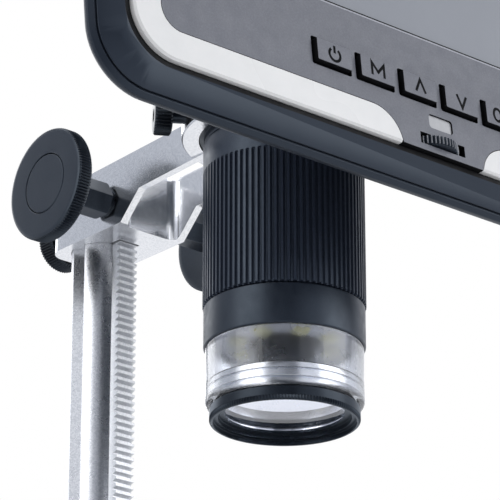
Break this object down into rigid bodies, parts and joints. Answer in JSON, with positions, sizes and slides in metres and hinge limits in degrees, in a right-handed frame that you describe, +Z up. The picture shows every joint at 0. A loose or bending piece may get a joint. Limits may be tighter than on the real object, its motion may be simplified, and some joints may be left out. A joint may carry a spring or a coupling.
{
  "type": "lcd digital microscope",
  "caption": "Bench microscope: a camera barrel in a cast arm that racks up and down a toothed column, with a tilting display over it and a stage on a flat foot.",
  "frame": {"origin": "on the bench under the middle of the foot and of the whole object", "axes": "+Z up along the column, the user stands at -Y facing the display, +X to the user's right"},
  "size_m": [0.1658, 0.15, 0.26],
  "materials": {
    "base_paint": "fine textured black coat",
    "stage_plastic": "matt white moulding",
    "foot_rubber": "soft black rubber",
    "column_metal": "drawn and satin anodised",
    "arm_metal": "die cast, bead blasted and clear anodised",
    "black_metal": "black oxide",
    "steel": "turned steel",
    "bright_steel": "polished",
    "knob_plastic": "satin black moulding",
    "barrel_plastic": "fine matt black moulding",
    "clear_plastic": "clear polished moulding",
    "optical_glass": "coated optical glass",
    "board_green": "solder mask",
    "board_white": "white solder mask",
    "lamp_yellow": "phosphor over the chip",
    "shell_plastic": "high gloss black moulding",
    "panel_plastic": "speckled grey coat",
    "trim_white": "pearl white moulding",
    "screen_glass": "hard coated front window",
    "panel_dark": "display panel, off",
    "key_plastic": "satin black moulding",
    "mat_rubber": "silicone rubber",
    "window_milky": "milky moulding",
    "socket_metal": "plated sheet"
  },
  "bodies": {
    "stand": {"base_plate": "base_paint", "stage_plate": "stage_plastic", "rubber_feet": "foot_rubber", "column": "column_metal", "column_collar": "black_metal", "column_screw": "steel", "column_cap": "knob_plastic", "rack_strip": "column_metal"},
    "carriage": {"arm_casting": "arm_metal", "left_shaft_bush": "black_metal", "right_shaft_bush": "black_metal"},
    "focus_shaft": {"pinion_shaft": "steel", "left_focus_knob": "knob_plastic", "right_focus_knob": "knob_plastic", "left_knob_cap": "knob_plastic", "right_knob_cap": "knob_plastic", "knob_screws": "steel"},
    "lock_screw": {"lock_knob": "knob_plastic", "lock_stud": "steel"},
    "clamp_screw": {"clamp_knob": "knob_plastic", "clamp_stud": "black_metal"},
    "camera_head": {"camera_body": "barrel_plastic", "head_cap": "barrel_plastic", "tilt_bracket": "black_metal", "bracket_screws": "steel", "hinge_pin": "steel", "inner_tube": "barrel_plastic", "lower_band": "barrel_plastic", "clear_skirt": "clear_plastic", "thread_ring": "bright_steel", "light_board": "board_white", "leds": "lamp_yellow", "sensor_board": "board_green"},
    "sleeve": {"focus_sleeve": "barrel_plastic"},
    "lens_carrier": {"lens_cell": "black_metal", "lens_elements": "optical_glass"},
    "filter": {"filter_ring": "black_metal", "filter_glass": "optical_glass"},
    "monitor": {"rear_shell": "shell_plastic", "front_frame": "shell_plastic", "faceplate": "panel_plastic", "left_trim": "trim_white", "right_trim": "trim_white", "display_window": "screen_glass", "lcd_panel": "panel_dark", "main_board": "board_green", "keypad_mat": "mat_rubber", "ir_window": "window_milky", "shell_screws": "steel", "dc_jack": "knob_plastic", "usb_socket": "socket_metal", "card_slot": "socket_metal", "hinge_lugs": "black_metal"},
    "dimmer": {"brightness_wheel": "knob_plastic"},
    "power_key": {"power_button": "key_plastic"},
    "menu_key": {"menu_button": "key_plastic"},
    "up_key": {"up_button": "key_plastic"},
    "down_key": {"down_button": "key_plastic"},
    "ok_key": {"ok_button": "key_plastic"},
    "snap_key": {"snap_button": "key_plastic"}
  },
  "joints": [
    {"name": "carriage_slide", "type": "slide", "parent": "stand", "child": "carriage", "axis": [0, 0, 1], "range_m": [-0.086, 0]},
    {"name": "focus_turn", "type": "hinge", "parent": "carriage", "child": "focus_shaft", "pos_m": [0, 0.0339, 0.1662], "axis": [1, 0, 0], "range_deg": [-10, 1660]},
    {"name": "lock_turn", "type": "hinge", "parent": "carriage", "child": "lock_screw", "pos_m": [0, 0.0539, 0.1662], "axis": [0, 1, 0], "range_deg": [-30, 330]},
    {"name": "clamp_turn", "type": "hinge", "parent": "carriage", "child": "clamp_screw", "pos_m": [0, -0.0143, 0.17115], "axis": [-0.8387, 0.5446, 0], "range_deg": [-30, 330]},
    {"name": "head_swivel", "type": "hinge", "parent": "carriage", "child": "camera_head", "pos_m": [0, -0.0143, 0.1669], "axis": [0, 0, 1], "range_deg": [-40, 40]},
    {"name": "focus_ring_turn", "type": "hinge", "parent": "camera_head", "child": "sleeve", "pos_m": [0, -0.0143, 0.1301], "axis": [0, 0, 1], "range_deg": [0, 300]},
    {"name": "lens_slide", "type": "slide", "parent": "camera_head", "child": "lens_carrier", "axis": [0, 0, 1], "range_m": [-0.0001, 0.0061]},
    {"name": "filter_turn", "type": "hinge", "parent": "camera_head", "child": "filter", "pos_m": [0, -0.0143, 0.106], "axis": [0, 0, 1], "continuous": true},
    {"name": "monitor_tilt", "type": "hinge", "parent": "camera_head", "child": "monitor", "pos_m": [0, -0.03381, 0.18547], "axis": [-1, 0, 0], "range_deg": [-6, 24]},
    {"name": "brightness_turn", "type": "hinge", "parent": "monitor", "child": "dimmer", "pos_m": [0, -0.05637, 0.15064], "axis": [0, 0.1045, 0.9945], "range_deg": [-140, 140]},
    {"name": "power_press", "type": "slide", "parent": "monitor", "child": "power_key", "axis": [0, 0.9945, -0.1045], "range_m": [0, 0.0005], "stiffness_N_per_m": 400},
    {"name": "menu_press", "type": "slide", "parent": "monitor", "child": "menu_key", "axis": [0, 0.9945, -0.1045], "range_m": [0, 0.0005], "stiffness_N_per_m": 400},
    {"name": "up_press", "type": "slide", "parent": "monitor", "child": "up_key", "axis": [0, 0.9945, -0.1045], "range_m": [0, 0.0005], "stiffness_N_per_m": 400},
    {"name": "down_press", "type": "slide", "parent": "monitor", "child": "down_key", "axis": [0, 0.9945, -0.1045], "range_m": [0, 0.0005], "stiffness_N_per_m": 400},
    {"name": "ok_press", "type": "slide", "parent": "monitor", "child": "ok_key", "axis": [0, 0.9945, -0.1045], "range_m": [0, 0.0005], "stiffness_N_per_m": 400},
    {"name": "snap_press", "type": "slide", "parent": "monitor", "child": "snap_key", "axis": [0, 0.9945, -0.1045], "range_m": [0, 0.0005], "stiffness_N_per_m": 400}
  ],
  "couplings": [
    {"joint": "focus_turn", "follows": "carriage_slide", "rad_per_m": -333.33},
    {"joint": "lens_slide", "follows": "focus_ring_turn", "m_per_rad": 0.0011459}
  ]
}
